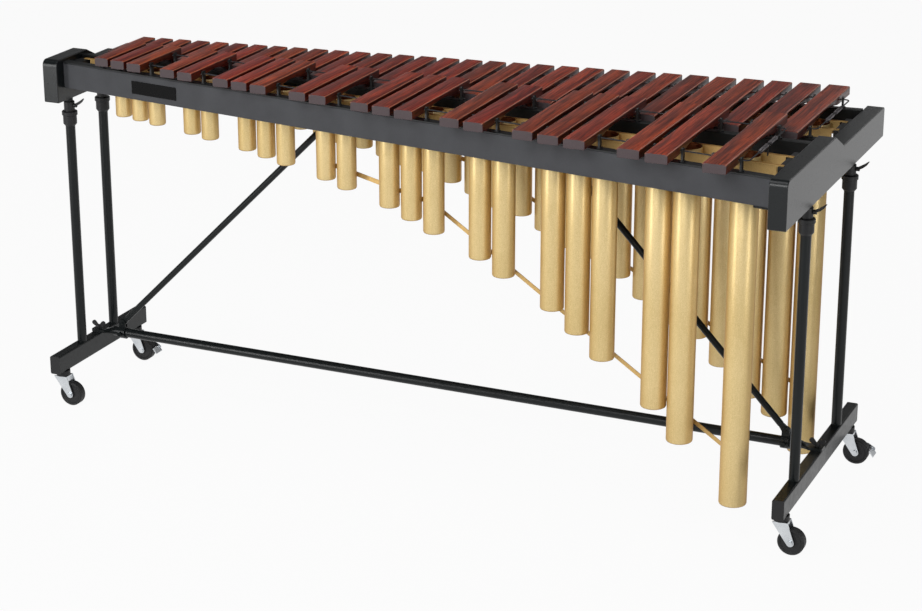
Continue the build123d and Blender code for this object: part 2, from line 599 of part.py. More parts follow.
low_middle = sum(LOW_FOOT) / 2
high_middle = sum(HIGH_FOOT) / 2
brace_slope = (low_middle - high_middle) / (2 * LEG_X)
brace_line = ((low_middle + high_middle) / 2, brace_slope)
save("foot_low", foot(LEG_X, LOW_FOOT))
save("foot_high", foot(-LEG_X, HIGH_FOOT))
save("foot_caps", [foot_cap(LEG_X, LOW_FOOT[0], -1), foot_cap(LEG_X, LOW_FOOT[1], 1),
                   foot_cap(-LEG_X, HIGH_FOOT[0], -1), foot_cap(-LEG_X, HIGH_FOOT[1], 1)])

# ================= cross brace: a tube whose flattened ends lie on the feet =================
brace_height = FOOT_TOP + BRACE_RISE
brace_frame = Pos(0, brace_line[0], brace_height) * Rot(0, 0, turn_of(brace_line))
half_span = LEG_X / math.cos(math.radians(turn_of(brace_line)))
flat_start = half_span - 22
tube_end = flat_start - 30
flat_drop = BRACE_END_THICK / 2 - BRACE_RISE
brace = extrude(Plane.YZ * Circle(BRACE_RADIUS), tube_end, both=True)
for way in (-1, 1):
    round_end = Plane(origin=(way * tube_end, 0, 0), x_dir=(0, 1, 0), z_dir=(1, 0, 0)) * Circle(BRACE_RADIUS)
    flat_section = Plane(origin=(way * flat_start, 0, flat_drop), x_dir=(0, 1, 0),
                         z_dir=(1, 0, 0)) * RectangleRounded(BRACE_END_WIDTH, BRACE_END_THICK, 3.5)
    brace += loft([round_end, flat_section])
    tongue = Pos(way * (half_span - 3), 0, flat_drop) * Box(38, BRACE_END_WIDTH, BRACE_END_THICK)
    tongue = fillet(tongue.edges().filter_by(Axis.Z), 5)
    brace += tongue
    brace -= Pos(way * half_span, 0, flat_drop) * Cylinder(PIVOT_RADIUS + FIT_GAP, 20)
save("cross_brace", brace_frame * brace)


def wing_head(size):
    """Two flat ears on a round boss, standing up along +Z from the seat at z = 0."""
    boss = Cylinder(0.42 * size, 0.7 * size, align=(Align.CENTER, Align.CENTER, Align.MIN))
    ears = []
    for side in (-1, 1):
        ear = hull(Pos(side * 0.2 * size, 0.3 * size) * Circle(0.28 * size),
                   Pos(side * 1.1 * size, 1.1 * size) * Circle(0.5 * size))
        ears.append(extrude(Plane.XZ * ear, 0.16 * size, both=True))
    return boss + ears[0] + ears[1]


for name, way in (("low", 1), ("high", -1)):
    bolt_top = FOOT_TOP + BRACE_END_THICK + FIT_GAP
    bolt = wing_head(BRACE_WING_SIZE) + Pos(0, 0, -20) * Cylinder(
        PIVOT_RADIUS, 21, align=(Align.CENTER, Align.CENTER, Align.MIN))
    save("brace_bolt_" + name, Pos(way * LEG_X, on(brace_line, way * LEG_X), bolt_top) * bolt)

# ================= diagonals from collars on the brace up to brackets under the frame ============
collar_radius = BRACE_RADIUS + FIT_GAP + COLLAR_WALL
collar_x = LEG_X - COLLAR_INSET
acc_rail_bottom = acc_rail_top - RAIL_HEIGHT
upper_pivot_height = acc_rail_bottom - UPPER_PIVOT_DROP
upper_z = upper_pivot_height - brace_height


def cheeks(drop, pin_at):
    """Two cheeks about Y = 0 that reach from z = drop to a rounded top round the pin."""
    plate = hull(Pos(0, pin_at) * Circle(EYE_RADIUS), Pos(0, drop) * Rectangle(2 * EYE_RADIUS, 1))
    offset = CLEVIS_GAP / 2
    cheek = extrude(Plane.XZ * plate, CLEVIS_CHEEK)
    return Pos(0, -offset, 0) * cheek, Pos(0, offset + CLEVIS_CHEEK, 0) * cheek


for name, way, top_x in (("low", 1, UPPER_PIVOT_X[1]), ("high", -1, UPPER_PIVOT_X[0])):
    ring = extrude(Plane.YZ * Circle(collar_radius), COLLAR_LENGTH / 2, both=True)
    first, second = cheeks(BRACE_RADIUS - 1, CLEVIS_RISE)
    collar = ring + first + second
    collar -= extrude(Plane.YZ * Circle(BRACE_RADIUS + FIT_GAP), COLLAR_LENGTH, both=True)
    collar -= Pos(0, 0, CLEVIS_RISE) * Cylinder(PIVOT_RADIUS + RUN_GAP, 40, rotation=(90, 0, 0))
    nut = Pos(0, -collar_radius - 3, 0) * Cylinder(6, 8, rotation=(90, 0, 0))
    collar += nut - extrude(Plane.YZ * Circle(BRACE_RADIUS + FIT_GAP), COLLAR_LENGTH, both=True)
    save("brace_collar_" + name, brace_frame * Pos(way * collar_x, 0, 0) * collar)

    low_end = Vector(way * collar_x, 0, CLEVIS_RISE)
    high_end = Vector(top_x, 0, upper_z)
    along = high_end - low_end
    length = along.length
    rod_plane = Plane(origin=low_end, x_dir=(0, 1, 0), z_dir=along)
    rod = extrude(rod_plane.offset(22) * Circle(DIAGONAL_RADIUS), length - 44)
    half_flat = CLEVIS_GAP / 2 - FIT_GAP
    flats = []
    for at, hole, outer in ((low_end, 0, EYE_RADIUS), (high_end, SLACK_EYE_RADIUS, EYE_RADIUS + 1.5)):
        inward = along.normalized() * (24 if at is low_end else -24)
        shape = hull(Pos(at.X, at.Z) * Circle(outer),
                     Pos(at.X + inward.X, at.Z + inward.Z) * Circle(6))
        flat = extrude(Plane.XZ * shape, half_flat, both=True)
        if hole:
            flat -= Pos(at.X, 0, at.Z) * Cylinder(hole, 20, rotation=(90, 0, 0))
        flats.append(flat)
    pin_half = CLEVIS_GAP / 2 + CLEVIS_CHEEK + 2
    pin = Pos(low_end.X, 0, low_end.Z) * Cylinder(PIVOT_RADIUS, 2 * pin_half, rotation=(90, 0, 0))
    save("diagonal_" + name, brace_frame * (rod + flats[0] + flats[1] + pin))

# Each bracket is a plate screwed across the middle rail and the naturals' rail, with a clevis
# and its pin hanging from it in line with the brace.
brackets = []
for top_x in UPPER_PIVOT_X:
    plate_z = acc_rail_bottom + 4
    plate = plank(shifted(MIDDLE_RAIL_LINE, RAIL_THICK / 2), shifted(NAT_RAIL_LINE, -RAIL_THICK / 2),
                  top_x - 22, top_x + 22, plate_z - 3, plate_z + 3)
    pivot_y = on(brace_line, top_x)
    first, second = cheeks(plate_z - upper_pivot_height, 0)
    hanger = first + second + Cylinder(PIVOT_RADIUS, CLEVIS_GAP + 2 * CLEVIS_CHEEK + 4,
                                       rotation=(90, 0, 0))
    hanger = Pos(top_x, pivot_y, upper_pivot_height) * Rot(0, 0, turn_of(brace_line)) * hanger
    brackets.append((plate + hanger).solids()[0])
save("diagonal_brackets", brackets)

# ================= casters =================
CROWN_TOP = FOOT_BOTTOM - NECK_HEIGHT
cheek_in = WHEEL_WIDTH / 2 + FORK_GAP
cheek_out = cheek_in + CHEEK_THICK
BRAKE_PIN_X = TRAIL - 6
BRAKE_PIN_Z = WHEEL_RADIUS + 20
stems = []


def make_fork(with_brake):
    crown = Pos(0, 0, CROWN_TOP - CROWN_THICK) * extrude(
        Circle(NECK_RADIUS + 0.5) + Pos(8, 0) * Rectangle(22, 2 * cheek_out), CROWN_THICK)
    shape = hull(Pos(0, CROWN_TOP - 1) * Rectangle(2 * NECK_RADIUS, 2),
                 Pos(TRAIL, WHEEL_RADIUS) * Circle(9.5))
    cheek = extrude(Plane.XZ * shape, CHEEK_THICK)
    fork = crown + Pos(0, -cheek_in, 0) * cheek + Pos(0, cheek_out, 0) * cheek
    fork -= Pos(0, 0, CROWN_TOP - 20) * extrude(Circle(4 + RUN_GAP), 30)
    if with_brake:
        fork -= cylinder(BRAKE_PIN_RADIUS + RUN_GAP, (BRAKE_PIN_X, cheek_in - 1, BRAKE_PIN_Z), (0, 1, 0),
                         CHEEK_THICK + 2)
    axle = Cylinder(AXLE_RADIUS, 2 * cheek_out, rotation=(90, 0, 0))
    for side in (-1, 1):
        axle += Pos(0, side * (cheek_out + 2), 0) * Cylinder(6.5, 4, rotation=(90, 0, 0))
    return fork + Pos(TRAIL, 0, WHEEL_RADIUS) * axle


def make_wheel():
    half = WHEEL_WIDTH / 2
    tyre = [(WHEEL_RADIUS - 9, half - 2.5), (WHEEL_RADIUS - 6, half)]
    right = [(AXLE_RADIUS + RUN_GAP, half + FORK_GAP - 0.6), (9, half + FORK_GAP - 0.6), (10.5, half - 2.5)]
    upper = right + tyre
    outline = upper + [(WHEEL_RADIUS - 3, half), (WHEEL_RADIUS, half - 3), (WHEEL_RADIUS, 3 - half),
                       (WHEEL_RADIUS - 3, -half)]
    outline += [(r, -y) for r, y in reversed(upper)]
    disc = revolve(make_face(Polyline(*outline, close=True)), Axis.Y)
    return Pos(TRAIL, 0, WHEEL_RADIUS) * disc


def make_brake():
    """An arm pinned outside the far cheek, with a pedal behind the wheel that turns onto the tread."""
    arm_in = cheek_out + FIT_GAP
    pedal_x = TRAIL + WHEEL_RADIUS + PEDAL_CLEAR
    root = Pos(BRAKE_PIN_X, BRAKE_PIN_Z) * Circle(6)
    elbow = Pos(TRAIL + 0.7 * WHEEL_RADIUS, WHEEL_RADIUS + 14) * Circle(5)
    tip = Pos(pedal_x, WHEEL_RADIUS + 4) * Circle(6)
    arm = extrude(Plane.XZ * (hull(root, elbow) + hull(elbow, tip)), BRAKE_THICK)
    arm = Pos(0, arm_in + BRAKE_THICK, 0) * arm
    leaf = hull(Pos(pedal_x - 2, WHEEL_RADIUS + 7) * Circle(1.3),
                Pos(pedal_x + PEDAL_REACH, WHEEL_RADIUS - 6) * Circle(1.3))
    pedal = Pos(0, arm_in + BRAKE_THICK, 0) * extrude(Plane.XZ * leaf, arm_in + BRAKE_THICK + WHEEL_WIDTH / 2)
    pin = cylinder(BRAKE_PIN_RADIUS, (BRAKE_PIN_X, cheek_in - 0.6, BRAKE_PIN_Z), (0, 1, 0),
                   CHEEK_THICK + FIT_GAP + BRAKE_THICK + 2)
    return arm + pedal + pin


def make_stem():
    """The black neck under a foot, its pin up into the foot and its pivot down through the fork."""
    stem = Pos(0, 0, CROWN_TOP + FIT_GAP) * extrude(Circle(NECK_RADIUS), FOOT_BOTTOM - CROWN_TOP - FIT_GAP)
    stem += Pos(0, 0, FOOT_BOTTOM) * extrude(Circle(STEM_RADIUS), 22)
    low = CROWN_TOP - CROWN_THICK - FIT_GAP
    stem += Pos(0, 0, low) * extrude(Circle(4), CROWN_TOP + 1 - low)
    stem += Pos(0, 0, low - 3) * extrude(Circle(7), 3)
    return stem


caster_places = (("low_near", LEG_X, LOW_FOOT[0] + STEM_INSET), ("low_far", LEG_X, LOW_FOOT[1] - STEM_INSET),
                 ("high_near", -LEG_X, HIGH_FOOT[0] + STEM_INSET),
                 ("high_far", -LEG_X, HIGH_FOOT[1] - STEM_INSET))
for name, x, y in caster_places:
    braked = name.endswith("far")
    save("fork_" + name, Pos(x, y, 0) * make_fork(braked))
    save("wheel_" + name, Pos(x, y, 0) * make_wheel())
    if braked:
        save("brake_" + name, Pos(x, y, 0) * make_brake())
    stems.append((Pos(x, y, 0) * make_stem()).solids()[0])
save("caster_stems", stems)

# ================= origin under the middle of the box, then one file a node =================
x_low = -BOARD_OUTER
x_high = LEG_X + TRAIL + WHEEL_RADIUS + PEDAL_CLEAR + PEDAL_REACH + 1.3
y_low = on(ACC_NEAR_ENDS, accidentals[-1]["x"])
y_high = on(NAT_FAR_ENDS, naturals[-1]["x"])
home = Pos(-(x_low + x_high) / 2, -(y_low + y_high) / 2, 0)
print("moved by", -(x_low + x_high) / 2, -(y_low + y_high) / 2)
for name, solids in everything:
    moved = [home * solid for solid in solids]
    shape = moved[0] if len(moved) == 1 else Compound(children=moved)
    export_step(shape, "parts/" + name + ".step")
print(len(everything), "nodes")
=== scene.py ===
import math

import bpy
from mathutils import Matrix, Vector


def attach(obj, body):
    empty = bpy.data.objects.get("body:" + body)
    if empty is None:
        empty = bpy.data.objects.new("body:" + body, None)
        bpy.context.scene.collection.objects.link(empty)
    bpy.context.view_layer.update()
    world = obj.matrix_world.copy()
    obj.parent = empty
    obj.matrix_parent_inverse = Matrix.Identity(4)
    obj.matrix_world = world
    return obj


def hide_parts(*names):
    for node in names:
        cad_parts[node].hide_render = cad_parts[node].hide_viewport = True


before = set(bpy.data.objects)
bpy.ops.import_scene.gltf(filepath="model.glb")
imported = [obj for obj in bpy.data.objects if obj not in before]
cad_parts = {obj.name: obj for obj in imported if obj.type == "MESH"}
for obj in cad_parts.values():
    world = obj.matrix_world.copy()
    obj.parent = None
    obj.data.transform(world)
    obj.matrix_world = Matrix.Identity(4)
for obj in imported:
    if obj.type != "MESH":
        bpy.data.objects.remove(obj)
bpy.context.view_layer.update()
scene = bpy.context.scene
scene.view_settings.view_transform = "Standard"

# ================= camera =================
# A long lens stands well back, to the right of the audience and above the bars,
# and looks down the instrument towards its high end.
CAMERA_PLACE = (2.4028, -5.4112, 2.467)
CAMERA_TURN = 23.363         # degrees to the left
CAMERA_DIP = 19.314          # degrees below level
LENS = 94.05
SENSOR_WIDTH = 36
SIGHT = 200                  # how far the camera sees
camera = bpy.data.objects.new("camera", bpy.data.cameras.new("camera"))
scene.collection.objects.link(camera)
camera.location = CAMERA_PLACE
camera.rotation_euler = (math.radians(90 - CAMERA_DIP), 0, math.radians(CAMERA_TURN))
camera.data.lens = LENS
camera.data.sensor_width = SENSOR_WIDTH
camera.data.clip_end = SIGHT
scene.camera = camera

# ================= studio =================
# A white floor runs out to a white backdrop, which the object mirrors up to just above the
# horizon, with a dim room over it. A large soft box lights the front, a narrow one each side
# draws a bright line down the tubes, and two hang above, one of them behind.
SOFT_WORLD = 0.1
BACKDROP_TOPS = (0.05, 0.16)     # sine of the height where the backdrop starts and ends fading
FLOOR_HALF = 30.0
FLOOR_GREY = 0.5
FLOOR_WHITE = 0.95               # how far the floor's own white covers its shading
WHITE = (1, 1, 1, 1)
# Each lamp's name, place, aim, width and height in metres, and power in watts.
LAMPS = (("front_box", (0.3, -4.6, 3.1), (0.2, 0, 0.6), (3.0, 2.0), 130),
         ("left_strip", (-3.0, -4.0, 1.3), (0.2, 0, 0.5), (0.8, 2.4), 78),
         ("right_strip", (4.4, -2.0, 1.2), (0.6, 0, 0.5), (0.8, 2.2), 38),
         ("top_box", (-0.9, -0.9, 4.6), (0.2, 0, 0.8), (3.0, 2.2), 60),
         ("back_box", (1.3, 4.4, 3.0), (0.2, 0, 0.9), (2.4, 0.9), 16))


def plug(tree, node, inputs):
    """Gives each of a node's inputs its value, or links it to the socket that feeds it."""
    for key, value in inputs.items():
        if isinstance(value, bpy.types.NodeSocket):
            tree.links.new(value, node.inputs[key])
        else:
            node.inputs[key].default_value = value


def add(tree, kind, inputs=None, **settings):
    """One node with its settings and inputs."""
    node = tree.nodes.new(kind)
    for key, value in settings.items():
        setattr(node, key, value)
    plug(tree, node, inputs or {})
    return node


def calc(tree, operation, *values, **settings):
    """One sum on numbers or sockets; returns its result's socket."""
    kind = "ShaderNodeMath"
    return add(tree, kind, dict(enumerate(values)), operation=operation, **settings).outputs[0]


def between(tree, share, low, high, first, last):
    """Maps a share that runs from low to high onto first to last."""
    return add(tree, "ShaderNodeMapRange", {"Value": share, "From Min": low, "From Max": high,
                                            "To Min": first, "To Max": last}).outputs[0]


def seen_share(tree):
    """1 for the rays that show the background: camera, mirror and glass rays."""
    path = add(tree, "ShaderNodeLightPath")
    mirrored = calc(tree, "ADD", path.outputs["Is Camera Ray"], path.outputs["Is Glossy Ray"])
    return calc(tree, "ADD", mirrored, path.outputs["Is Transmission Ray"], use_clamp=True)


world = bpy.data.worlds.new("studio")
scene.world = world
world.use_nodes = True
tree = world.node_tree
tree.nodes.clear()
aim = add(tree, "ShaderNodeSeparateXYZ", {0: add(tree, "ShaderNodeTexCoord").outputs["Generated"]})
backdrop = between(tree, aim.outputs["Z"], *BACKDROP_TOPS, 1.0, 0.0)
soft = add(tree, "ShaderNodeBackground", {"Color": WHITE, "Strength": SOFT_WORLD})
white = add(tree, "ShaderNodeBackground", {"Color": WHITE, "Strength": 1.0})
in_view = add(tree, "ShaderNodeLightPath").outputs["Is Camera Ray"]
shown = calc(tree, "MAXIMUM", in_view, calc(tree, "MULTIPLY", seen_share(tree), backdrop))
surround = add(tree, "ShaderNodeMixShader", {0: shown, 1: soft.outputs[0], 2: white.outputs[0]})
add(tree, "ShaderNodeOutputWorld", {"Surface": surround.outputs[0]})

floor_mesh = bpy.data.meshes.new("studio_floor")
floor_mesh.from_pydata([(-FLOOR_HALF, -FLOOR_HALF, 0), (FLOOR_HALF, -FLOOR_HALF, 0),
                        (FLOOR_HALF, FLOOR_HALF, 0), (-FLOOR_HALF, FLOOR_HALF, 0)],
                       [], [(0, 1, 2, 3)])
floor = bpy.data.objects.new("studio_floor", floor_mesh)
scene.collection.objects.link(floor)
floor_finish = bpy.data.materials.new("studio_floor")
floor_finish.use_nodes = True
tree = floor_finish.node_tree
tree.nodes.clear()
shaded = add(tree, "ShaderNodeBsdfDiffuse", {"Color": (FLOOR_GREY, FLOOR_GREY, FLOOR_GREY, 1)})
plain = add(tree, "ShaderNodeEmission", {"Color": WHITE, "Strength": 1.0})
cover = calc(tree, "MULTIPLY", seen_share(tree), FLOOR_WHITE)
mixed = add(tree, "ShaderNodeMixShader", {0: cover, 1: shaded.outputs[0], 2: plain.outputs[0]})
add(tree, "ShaderNodeOutputMaterial", {"Surface": mixed.outputs[0]})
floor_mesh.materials.append(floor_finish)

for name, place, aim_at, sides, power in LAMPS:
    lamp = bpy.data.lights.new(name, "AREA")
    lamp.shape = "RECTANGLE"
    lamp.size, lamp.size_y = sides
    lamp.energy = power
    holder = bpy.data.objects.new(name, lamp)
    holder.location = place
    holder.rotation_euler = (Vector(aim_at) - Vector(place)).to_track_quat("-Z", "Y").to_euler()
    scene.collection.objects.link(holder)

# ================= end boards =================
# Two thick boards of black lacquered wood carry the rails. Their faces are sprayed satin,
# with a faint orange peel and a few soft marks from handling.


def tint(red, green, blue):
    """A colour as painters number it, 0 to 255, as the shader wants it."""
    shares = [c / 255 for c in (red, green, blue)]
    return tuple([s / 12.92 if s <= 0.04045 else ((s + 0.055) / 1.055) ** 2.4 for s in shares]
                 + [1.0])


def blank_finish(name):
    """A new material with its tree, its shader and the coordinates fixed to its piece."""
    material = bpy.data.materials.new(name)
    material.use_nodes = True
    tree = material.node_tree
    where = add(tree, "ShaderNodeTexCoord").outputs["Object"]
    return material, tree, tree.nodes["Principled BSDF"], where


def spots(tree, where, scale, detail=3.0, stretch=(1, 1, 1), rough=0.5):
    """Cloudy noise at so many spots a metre, drawn out along an axis by a stretch below 1."""
    place = add(tree, "ShaderNodeMapping", {"Vector": where, "Scale": stretch}).outputs[0]
    return add(tree, "ShaderNodeTexNoise", {"Vector": place, "Scale": scale, "Detail": detail,
                                            "Roughness": rough}).outputs["Fac"]


def blend_colours(tree, share, first, last):
    """The first colour where the share is 0 and the last where it is 1."""
    return add(tree, "ShaderNodeMix", {0: share, 6: first, 7: last}, data_type="RGBA").outputs[2]


def raised(tree, height, strength, depth):
    """A surface's normal where the height stands out by so much of a depth in metres."""
    return add(tree, "ShaderNodeBump", {"Height": height, "Strength": strength,
                                        "Distance": depth}).outputs[0]


def sprayed(name, dark, light, shine, peel_scale, peel_depth, metal=0.0, mottle=9.0, shiny=0.35):
    """Paint, plastic or plated metal: a mottled colour, uneven roughness and a fine skin."""
    material, tree, shader, where = blank_finish(name)
    cloud = spots(tree, where, mottle, 4.0)
    skin = spots(tree, where, peel_scale, 2.0)
    marks = spots(tree, where, mottle * 7, 5.0, rough=0.7)
    share = calc(tree, "MULTIPLY_ADD", skin, 0.5, calc(tree, "MULTIPLY", cloud, 0.5))
    share = between(tree, share, 0.35, 0.65, 0.0, 1.0)
    plug(tree, shader, {
        "Base Color": blend_colours(tree, share, dark, light),
        "Roughness": between(tree, marks, 0.35, 0.7, *shine),
        "Normal": raised(tree, skin, 0.6, peel_depth),
        "Metallic": metal, "Specular IOR Level": shiny})
    return material


def dress(material, *names):
    """Gives CAD nodes their finish."""
    for name in names:
        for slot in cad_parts[name].material_slots:
            slot.material = material


black_board = sprayed("black_board", tint(9, 13, 15), tint(13, 18, 20), (0.27, 0.34),
                      420, 0.00004, mottle=30, shiny=0.38)
dress(black_board, "end_board_low", "end_board_high")

# ================= rails =================
# Four long rails run between the end boards under the bars' nodal lines. The front one is
# charcoal with a dry coat and has a black strip on its top. The ones inside are plain black.
charcoal_board = sprayed("charcoal_board", tint(65, 66, 69), tint(72, 73, 76), (0.52, 0.62),
                         700, 0.00012, mottle=24, shiny=0.2)
dress(charcoal_board, "front_rail")
rail_black = sprayed("rail_black", tint(10, 12, 12), tint(15, 17, 18), (0.36, 0.5),
                     600, 0.00008, mottle=20, shiny=0.22)
dress(rail_black, "middle_rail", "naturals_rail", "rear_rail")
rail_strip = sprayed("rail_strip", tint(20, 22, 23), tint(30, 32, 33), (0.4, 0.55), 600, 0.00006)
dress(rail_strip, "front_rail_cap")

# ================= badge plate =================
# A thin black plate, glued to the audience's face of the front rail near its high end.
# It is bare.
badge_black = sprayed("badge_black", tint(6, 6, 7), tint(9, 9, 10), (0.24, 0.3),
                      300, 0.00002, shiny=0.1)
dress(badge_black, "badge_plate")

# ================= rosewood bars =================
# Fifty-two bars of dark red rosewood, each cut from its own plank, rounded along the edges,
# arched underneath and lacquered on top. They lengthen and widen towards the low notes.
BAR_THICK = 0.023
BAR_ROUND = 0.003
BAR_ARRIS = 0.0014           # softened edge round a bar's ends
BAR_ARCHES = (0.006, 0.014)  # cut away under the highest and the lowest bar
ARCH_REACH = (0.22, 0.27)    # half an arch's share of its bar's length
BAR_STEPS = 30               # along a bar
CORNER_STEPS = 5             # round each of its long edges
ARRIS_STEPS = 2              # across each softened edge
ARRIS_ANGLE = 60             # degrees; edges that turn by more are softened
SAME_SOLID = 0.001           # faces nearer than this along X belong to one solid
EARLY_WOOD, LATE_WOOD = tint(184, 66, 33), tint(106, 30, 18)
# The last colour on the next line is painted shade for the bars' side faces; the other two are
# grain.
STREAK_BROWN, PORE_BROWN, PAINTED_FLANK_SHADE = tint(46, 15, 10), tint(40, 16, 14), tint(46, 18, 14)
END_GRAIN = (tint(62, 53, 55), tint(95, 84, 86))
# A painted highlight: this pale wood is laid along the bars' top long edges.
PAINTED_HIGHLIGHT_WOOD = tint(214, 120, 76)
PLANK_SEEDS = {"naturals": 4, "accidentals": 9}
PLANK_SHIFT = (7.3, 23.1, 11.7)  # metres in the log from the first plank to the last
TONE_FOLD = 17.3             # turns each plank's draw into another one, for its tone
# The noises of the wood: spots a metre, detail, stretch and roughness.
BANDS = (74, 4.0, (1, 0.04, 0.6), 0.6)
STREAKS = (290, 4.0, (1, 0.03, 1), 0.65)
PORES = (900, 2.0, (1, 0.045, 1))
RINGS = (420, 3.0, (1, 1, 2.2), 0.7)
# Each cord's run through a bank: its X and Y past the high end and past the low end.
NODAL_LINES = {
    "naturals": (((-1.07665, 0.08781), (1.02335, 0.06744)),
                 ((-1.07665, 0.19504), (1.02335, 0.379))),
    "accidentals": (((-1.07665, -0.06453), (1.02335, -0.39003)),
                    ((-1.07665, 0.02507), (1.02335, -0.07363)))}
HOLE_RADIUS = 0.0026
HOLE_DROP = 0.0126           # below the bars' tops
DRILL_SIDES = 8


def solid_boxes(*names):
    """The lowest and highest corners of a CAD node's solids, which lie side by side in X."""
    faces = []
    for name in names:
        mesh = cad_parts[name].data
        for face in mesh.polygons:
            corners = [mesh.vertices[v].co for v in face.vertices]
            faces.append([f(c[k] for c in corners) for f in (min, max) for k in range(3)])
    boxes = []
    for face in sorted(faces):
        if boxes and face[0] <= boxes[-1][3] + SAME_SOLID:
            box = boxes[-1]
            boxes[-1] = [min(a, b) for a, b in zip(box[:3], face[:3])] + [
                max(a, b) for a, b in zip(box[3:], face[3:])]
        else:
            boxes.append(face)
    return boxes


def new_tree(name, inputs):
    """A Geometry Nodes tree with named inputs; returns it, their sockets and their ids."""
    tree = bpy.data.node_groups.new(name, "GeometryNodeTree")
    sockets = {"Geometry": "Geometry", **inputs}
    ids = {label: tree.interface.new_socket(label, in_out="INPUT",
                                            socket_type="NodeSocket" + kind).identifier
           for label, kind in sockets.items()}
    tree.interface.new_socket("Geometry", in_out="OUTPUT", socket_type="NodeSocketGeometry")
    return tree, tree.nodes.new("NodeGroupInput").outputs, ids


def own(tree, name, kind="FLOAT"):
    """What each point says under this name."""
    return add(tree, "GeometryNodeInputNamedAttribute", {"Name": name}, data_type=kind).outputs[0]


def store(tree, geometry, name, value, kind="FLOAT"):
    """Writes a value on each point under this name."""
    return add(tree, "GeometryNodeStoreNamedAttribute",
               {"Geometry": geometry, "Name": name, "Value": value}, data_type=kind).outputs[0]


def copies(tree, points, shape):
    """A copy of a unit shape on each point; returns them and each corner's place on the shape."""
    place = add(tree, "GeometryNodeInputPosition").outputs[0]
    kept = store(tree, shape, "form", place, "FLOAT_VECTOR")
    laid = add(tree, "GeometryNodeInstanceOnPoints", {"Points": points, "Instance": kept})
    real = add(tree, "GeometryNodeRealizeInstances", {"Geometry": laid.outputs[0]})
    form = add(tree, "ShaderNodeSeparateXYZ", {0: own(tree, "form", "FLOAT_VECTOR")})
    return real.outputs[0], form.outputs


def placed(tree, geometry, x, y, z):
    """Moves every corner to its X, Y and Z."""
    place = add(tree, "ShaderNodeCombineXYZ", {"X": x, "Y": y, "Z": z}).outputs[0]
    return add(tree, "GeometryNodeSetPosition", {"Geometry": geometry,
                                                 "Position": place}).outputs[0]


def close_tree(tree, geometry, material):
    """The tree's last nodes: real geometry with its finish on it."""
    real = add(tree, "GeometryNodeRealizeInstances", {"Geometry": geometry}).outputs[0]
    done = add(tree, "GeometryNodeSetMaterial", {"Geometry": real, "Material": material})
    add(tree, "NodeGroupOutput", {"Geometry": done.outputs[0]})


def points_mesh(name, places, edges, **attributes):
    """A mesh of points, each with its own numbers for the tree to read."""
    mesh = bpy.data.meshes.new(name)
    mesh.from_pydata(places, edges, [])
    for key, values in attributes.items():
        mesh.attributes.new(key, "FLOAT", "POINT").data.foreach_set("value", values)
    return mesh


def grown(name, mesh, tree, ids, values, modifiers=()):
    """Runs a tree on a mesh and returns the result as a plain piece with no modifier left."""
    seed = bpy.data.objects.new(name + "_seed", mesh)
    scene.collection.objects.link(seed)
    nodes = seed.modifiers.new("tree", "NODES")
    nodes.node_group = tree
    for label, value in values.items():
        nodes[ids[label]] = value
    for kind, settings in modifiers:
        extra = seed.modifiers.new(kind.lower(), kind)
        for key, value in settings.items():
            setattr(extra, key, value)
    bpy.context.view_layer.update()
    done = seed.evaluated_get(bpy.context.evaluated_depsgraph_get())
    shape = bpy.data.meshes.new_from_object(done)
    bpy.data.objects.remove(seed)
    shape.name = name
    piece = bpy.data.objects.new(name, shape)
    scene.collection.objects.link(piece)
    return piece


